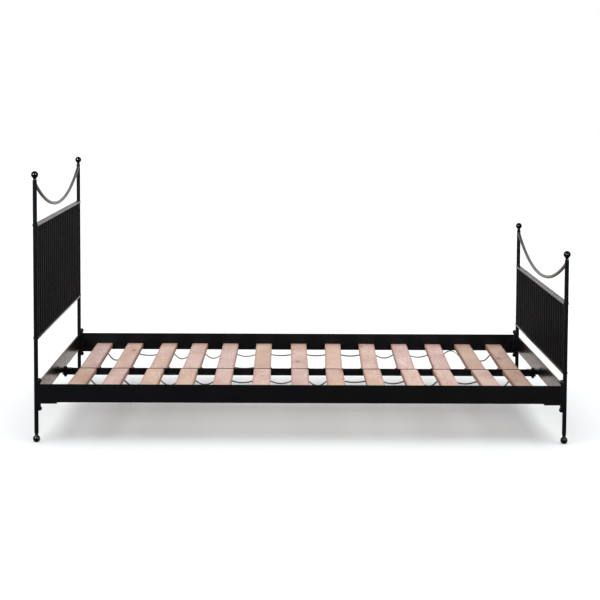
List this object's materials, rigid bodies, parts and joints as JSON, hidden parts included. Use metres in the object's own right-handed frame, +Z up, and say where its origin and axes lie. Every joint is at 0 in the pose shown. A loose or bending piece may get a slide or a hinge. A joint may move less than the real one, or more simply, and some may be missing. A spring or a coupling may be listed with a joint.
{
  "type": "metal bed frame",
  "caption": "Iron bed frame with spindled head and foot ends, hanging top rods, ball finials, bolted angle side rails, a centre rail and loose wooden slats on tapes.",
  "frame": {"origin": "on the floor under the middle of the bed, the middle of the bounding box's underside", "axes": "+Z up; +X along the bed from the head end to the foot end; +Y across the bed towards the left of a person lying on it"},
  "size_m": [1.9869, 1.419, 1.0065],
  "materials": {
    "painted_iron": "satin black paint",
    "painted_fixings": "satin black",
    "slat_wood": "planed, unvarnished",
    "webbing": "woven tape",
    "staple_wire": "galvanised wire"
  },
  "bodies": {
    "frame": {"head_right_post": "painted_iron", "head_left_post": "painted_iron", "foot_right_post": "painted_iron", "foot_left_post": "painted_iron", "finials": "painted_iron", "ball_feet": "painted_iron", "head_swag_rod": "painted_iron", "foot_swag_rod": "painted_iron", "head_upper_bar": "painted_iron", "head_lower_bar": "painted_iron", "foot_upper_bar": "painted_iron", "foot_lower_bar": "painted_iron", "head_spindles": "painted_iron", "foot_spindles": "painted_iron", "head_end_rail": "painted_iron", "foot_end_rail": "painted_iron", "right_side_rail": "painted_iron", "left_side_rail": "painted_iron", "post_flanges": "painted_iron", "rail_end_plates": "painted_iron", "corner_gussets": "painted_iron", "centre_rail": "painted_iron", "centre_web": "painted_iron", "centre_brackets": "painted_iron", "corner_bolts": "painted_fixings", "gusset_screws": "painted_fixings", "centre_bolts": "painted_fixings", "centre_nuts": "painted_fixings", "centre_washers": "painted_fixings"},
    "right_slats": {"slat_right_01": "slat_wood", "slat_right_02": "slat_wood", "slat_right_03": "slat_wood", "slat_right_04": "slat_wood", "slat_right_05": "slat_wood", "slat_right_06": "slat_wood", "slat_right_07": "slat_wood", "slat_right_08": "slat_wood", "slat_right_09": "slat_wood", "slat_right_10": "slat_wood", "slat_right_11": "slat_wood", "slat_right_12": "slat_wood", "slat_right_13": "slat_wood", "right_tapes": "webbing", "right_staples": "staple_wire"},
    "left_slats": {"slat_left_01": "slat_wood", "slat_left_02": "slat_wood", "slat_left_03": "slat_wood", "slat_left_04": "slat_wood", "slat_left_05": "slat_wood", "slat_left_06": "slat_wood", "slat_left_07": "slat_wood", "slat_left_08": "slat_wood", "slat_left_09": "slat_wood", "slat_left_10": "slat_wood", "slat_left_11": "slat_wood", "slat_left_12": "slat_wood", "slat_left_13": "slat_wood", "left_tapes": "webbing", "left_staples": "staple_wire"}
  },
  "joints": [
    {"name": "right_slats_lift", "type": "slide", "parent": "frame", "child": "right_slats", "axis": [0, 0, 1], "range_m": [0, 0.35]},
    {"name": "left_slats_lift", "type": "slide", "parent": "frame", "child": "left_slats", "axis": [0, 0, 1], "range_m": [0, 0.35]}
  ]
}
